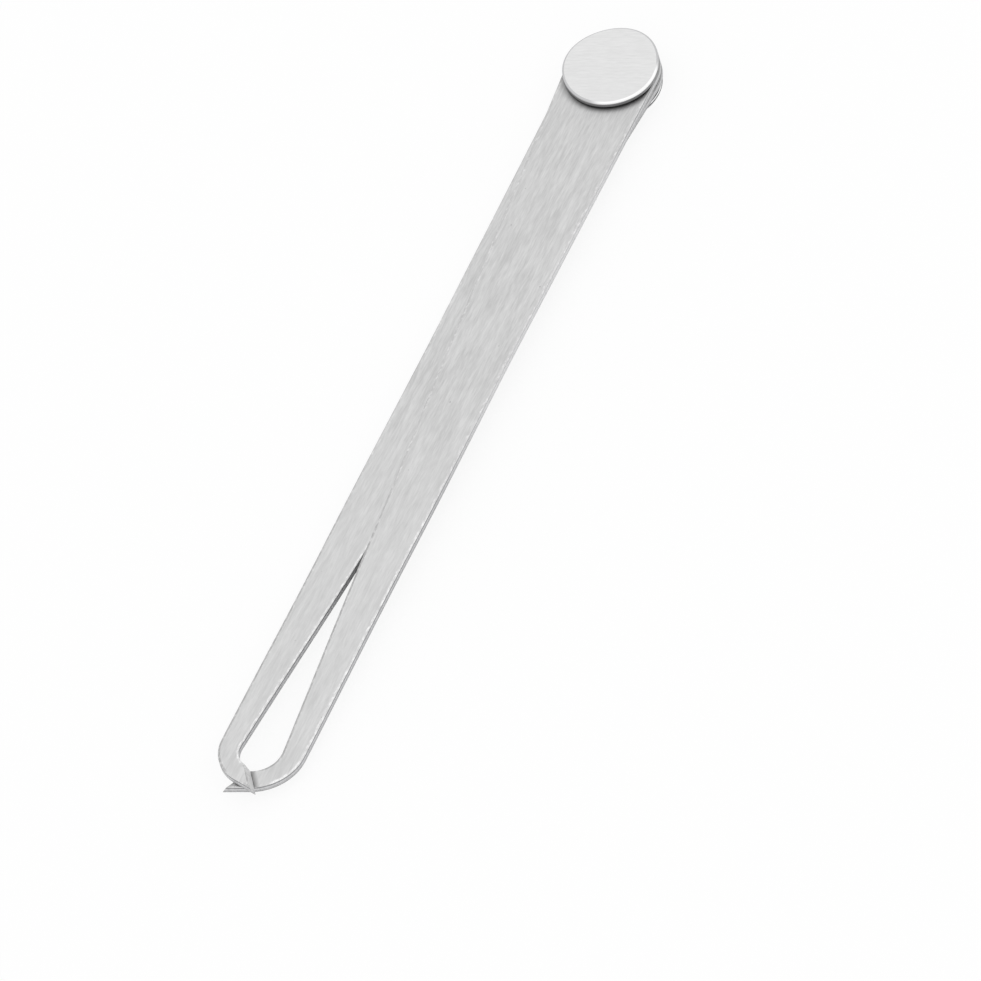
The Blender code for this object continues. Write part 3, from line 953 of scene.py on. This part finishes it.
class CALIPER_OT_legs(Operator):
    """Build both legs, with their hooks, ground ends and the set that lets the points cross"""

    bl_idname = "caliper.legs"
    bl_label = "Legs"

    def execute(self, context):
        sizes = context.scene.caliper_sizes
        materials = finishes(*ON_LEGS)
        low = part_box("back_leg")[0].z
        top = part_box("front_leg")[1].z
        step = top - low - sizes.leg_thickness
        back = leg_mesh("back_leg_sheet", sizes, low, step, "back", materials)
        add_piece("back_leg_sheet", back, "back_leg", "satin_sheet", "back_leg")
        front = leg_mesh("front_leg_sheet", sizes, low + step, -step, "front", materials)
        add_piece("front_leg_sheet", front, "front_leg", "satin_sheet", "front_leg")
        return {"FINISHED"}


class CALIPER_OT_rivet(Operator):
    """Build the rivet with its wide disc head, shank and closed tail"""

    bl_idname = "caliper.rivet"
    bl_label = "Pivot rivet"

    def execute(self, context):
        sizes = context.scene.caliper_sizes
        low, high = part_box("pivot_rivet")
        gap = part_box("spring_washer")[0].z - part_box("rear_disc")[1].z
        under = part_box("front_leg")[1].z + gap
        radius, rim, arris = sizes.rivet_head_radius, sizes.rim_round, sizes.rear_arris
        profile = [
            *[(share * (radius - rim), high.z) for share in FACE_LOOPS],
            *arc(Vector((radius - rim, high.z - rim)), rim, math.pi / 2, 0.0, RIM_STEPS),
            (radius, under + arris),
            (radius - arris, under),
            (sizes.shank_radius, under),
            (sizes.shank_radius, sizes.tail_depth),
            (sizes.tail_radius, low.z),
            (0.0, low.z),
        ]
        bands = [FACE] * len(FACE_LOOPS) + [RIM] * RIM_STEPS + [WALL] * 4
        mesh = turned_mesh(
            "pivot_rivet_turned", profile, finishes(*ON_DISCS), bands, hand_filed=True)
        add_piece("pivot_rivet_turned", mesh, "back_leg", "brushed_disc", "pivot_rivet")
        return {"FINISHED"}


class CALIPER_OT_rear_disc(Operator):
    """Build the rear disc, countersunk for the rivet's tail"""

    bl_idname = "caliper.rear_disc"
    bl_label = "Rear disc"

    def execute(self, context):
        sizes = context.scene.caliper_sizes
        low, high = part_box("rear_disc")
        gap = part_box("spring_washer")[0].z - high.z
        bore = sizes.shank_radius + sizes.bore_clearance
        sink = sizes.tail_radius + gap
        radius, rim, arris = sizes.rear_disc_radius, sizes.rear_disc_round, sizes.rear_arris
        depth = (sink - bore) * sizes.tail_depth / (sizes.tail_radius - sizes.shank_radius)
        profile = [
            (bore, high.z),
            (radius - arris, high.z),
            (radius, high.z - arris),
            *arc(Vector((radius - rim, low.z + rim)), rim, 0.0, -math.pi / 2, RIM_STEPS),
            (sink, low.z),
            (bore, low.z + depth),
        ]
        bands = [FACE, RIM, WALL] + [RIM] * RIM_STEPS
        mesh = turned_mesh("rear_disc_turned", profile, finishes(*ON_DISCS), bands, closed=True)
        add_piece("rear_disc_turned", mesh, "back_leg", "brushed_disc", "rear_disc")
        return {"FINISHED"}


class CALIPER_OT_washer(Operator):
    """Build the dished spring washer between the back leg and the rear disc"""

    bl_idname = "caliper.washer"
    bl_label = "Spring washer"

    def execute(self, context):
        sizes = context.scene.caliper_sizes
        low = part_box("spring_washer")[0].z
        bore = sizes.shank_radius + sizes.bore_clearance
        radius, dish, thickness = sizes.washer_radius, sizes.washer_dish, sizes.washer_thickness
        top = [
            (bore + (radius - bore) * i / WASHER_STEPS, low + dish * i / WASHER_STEPS + thickness)
            for i in range(WASHER_STEPS + 1)]
        under = [(r, z - thickness) for r, z in reversed(top)]
        mesh = turned_mesh(
            "spring_washer_dished", top + under, finishes("Spring steel, cold rolled"), closed=True)
        add_piece("spring_washer_dished", mesh, "back_leg", "spring_steel", "spring_washer")
        return {"FINISHED"}


class CALIPER_OT_stage(Operator):
    """Set up the white floor, the plain light and the camera of the picture"""

    bl_idname = "caliper.stage"
    bl_label = "Stage"

    def execute(self, context):
        scene = context.scene
        picture = scene.caliper_picture
        scene.view_settings.view_transform = "Standard"

        bm = bmesh.new()
        bmesh.ops.create_grid(bm, x_segments=4, y_segments=4, size=FLOOR_SIZE)
        mesh = bpy.data.meshes.new("floor")
        bm.to_mesh(mesh)
        bm.free()
        mesh.materials.append(finishes("Matte white card")[0])
        floor = bpy.data.objects.new("floor", mesh)
        floor.location.z = CAD_BOX[0].z - picture.floor_gap
        scene.collection.objects.link(floor)

        # The room is plain white to the camera and in the metal, and lights the rest by less.
        world = bpy.data.worlds.new("plain white room")
        scene.world = world
        world.use_nodes = True
        tree = world.node_tree
        light = tree.nodes["Background"]
        light.inputs["Color"].default_value = WHITE
        light.inputs["Strength"].default_value = picture.world_light
        path = add_node(tree, "ShaderNodeLightPath")
        seen = add_node(
            tree, "ShaderNodeMath", {"operation": "MAXIMUM"}, {},
            {0: path.outputs["Is Camera Ray"], 1: seen_in_metal(tree, path)})
        white = add_node(tree, "ShaderNodeBackground", {}, {"Color": WHITE, "Strength": 1.0})
        mix = add_node(
            tree, "ShaderNodeMixShader", {}, {},
            {0: seen.outputs[0], 1: light.outputs[0], 2: white.outputs[0]})
        tree.links.new(mix.outputs[0], tree.nodes["World Output"].inputs["Surface"])

        for name, (place, side) in SOFTBOXES.items():
            lamp = bpy.data.lights.new(name + " softbox", "AREA")
            lamp.shape = "SQUARE"
            lamp.size = side
            # A square lamp's power is four times its radiance for each square metre.
            lamp.energy = getattr(picture, name + "_light") * 4 * side * side
            obj = bpy.data.objects.new(name + " softbox", lamp)
            obj.location = place
            obj.rotation_euler = (LIT_POINT - obj.location).to_track_quat("-Z", "Y").to_euler()
            scene.collection.objects.link(obj)

        camera = bpy.data.cameras.new("camera")
        camera.lens = picture.lens
        camera.sensor_width = SENSOR_WIDTH
        obj = bpy.data.objects.new("camera", camera)
        scene.collection.objects.link(obj)
        turn, tilt, roll = picture.turn, picture.tilt, picture.roll
        first = Vector((math.cos(turn), math.sin(turn), 0.0))
        second = Vector((math.sin(turn), -math.cos(turn), 0.0))
        down = second * math.cos(tilt) - Vector((0.0, 0.0, math.sin(tilt)))
        right = first * math.cos(roll) + down * math.sin(roll)
        down = down * math.cos(roll) - first * math.sin(roll)
        back = right.cross(-down)
        pivot = Vector((0.0, 0.0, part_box("front_leg")[1].z))
        half = PICTURE_SIDE / 2
        per_mm = MM / picture.scale
        target = (
            pivot + right * (half - picture.pivot[0]) * per_mm
            + down * (half - picture.pivot[1]) * per_mm)
        distance = PICTURE_SIDE * per_mm * camera.lens / camera.sensor_width
        obj.matrix_world = Matrix.Translation(target + back * distance) @ Matrix(
            (right, -down, back)).transposed().to_4x4()
        camera.clip_start = distance / 10
        camera.clip_end = distance * 4
        scene.camera = obj
        return {"FINISHED"}


class CALIPER_PT_panel(Panel):
    """Sizes, finishes and pieces of the caliper"""

    bl_idname = "CALIPER_PT_panel"
    bl_label = "Outside caliper"
    bl_space_type = "VIEW_3D"
    bl_region_type = "UI"
    bl_category = "Caliper"

    def draw(self, context):
        layout = self.layout
        for name in GROUPS:
            group = getattr(context.scene, name)
            box = layout.box()
            for key in group.__annotations__:
                box.prop(group, key)
        for operator in OPERATORS:
            layout.operator(operator.bl_idname)


GROUPS = {
    "caliper_sizes": CaliperSizes,
    "caliper_finish": CaliperFinish,
    "caliper_picture": CaliperPicture,
}
OPERATORS = (
    CALIPER_OT_legs,
    CALIPER_OT_rivet,
    CALIPER_OT_rear_disc,
    CALIPER_OT_washer,
    CALIPER_OT_stage,
)
CLASSES = (*GROUPS.values(), *OPERATORS, CALIPER_PT_panel)


def register():
    """Register the classes and the scene's three groups of settings."""
    for cls in CLASSES:
        bpy.utils.register_class(cls)
    for name, group in GROUPS.items():
        setattr(bpy.types.Scene, name, PointerProperty(type=group))


def unregister():
    """Take the groups of settings and the classes out again."""
    for name in GROUPS:
        delattr(bpy.types.Scene, name)
    for cls in reversed(CLASSES):
        bpy.utils.unregister_class(cls)


def main():
    register()
    bpy.ops.caliper.legs()
    bpy.ops.caliper.rivet()
    bpy.ops.caliper.rear_disc()
    bpy.ops.caliper.washer()
    bpy.ops.caliper.stage()


if __name__ == "__main__":
    main()
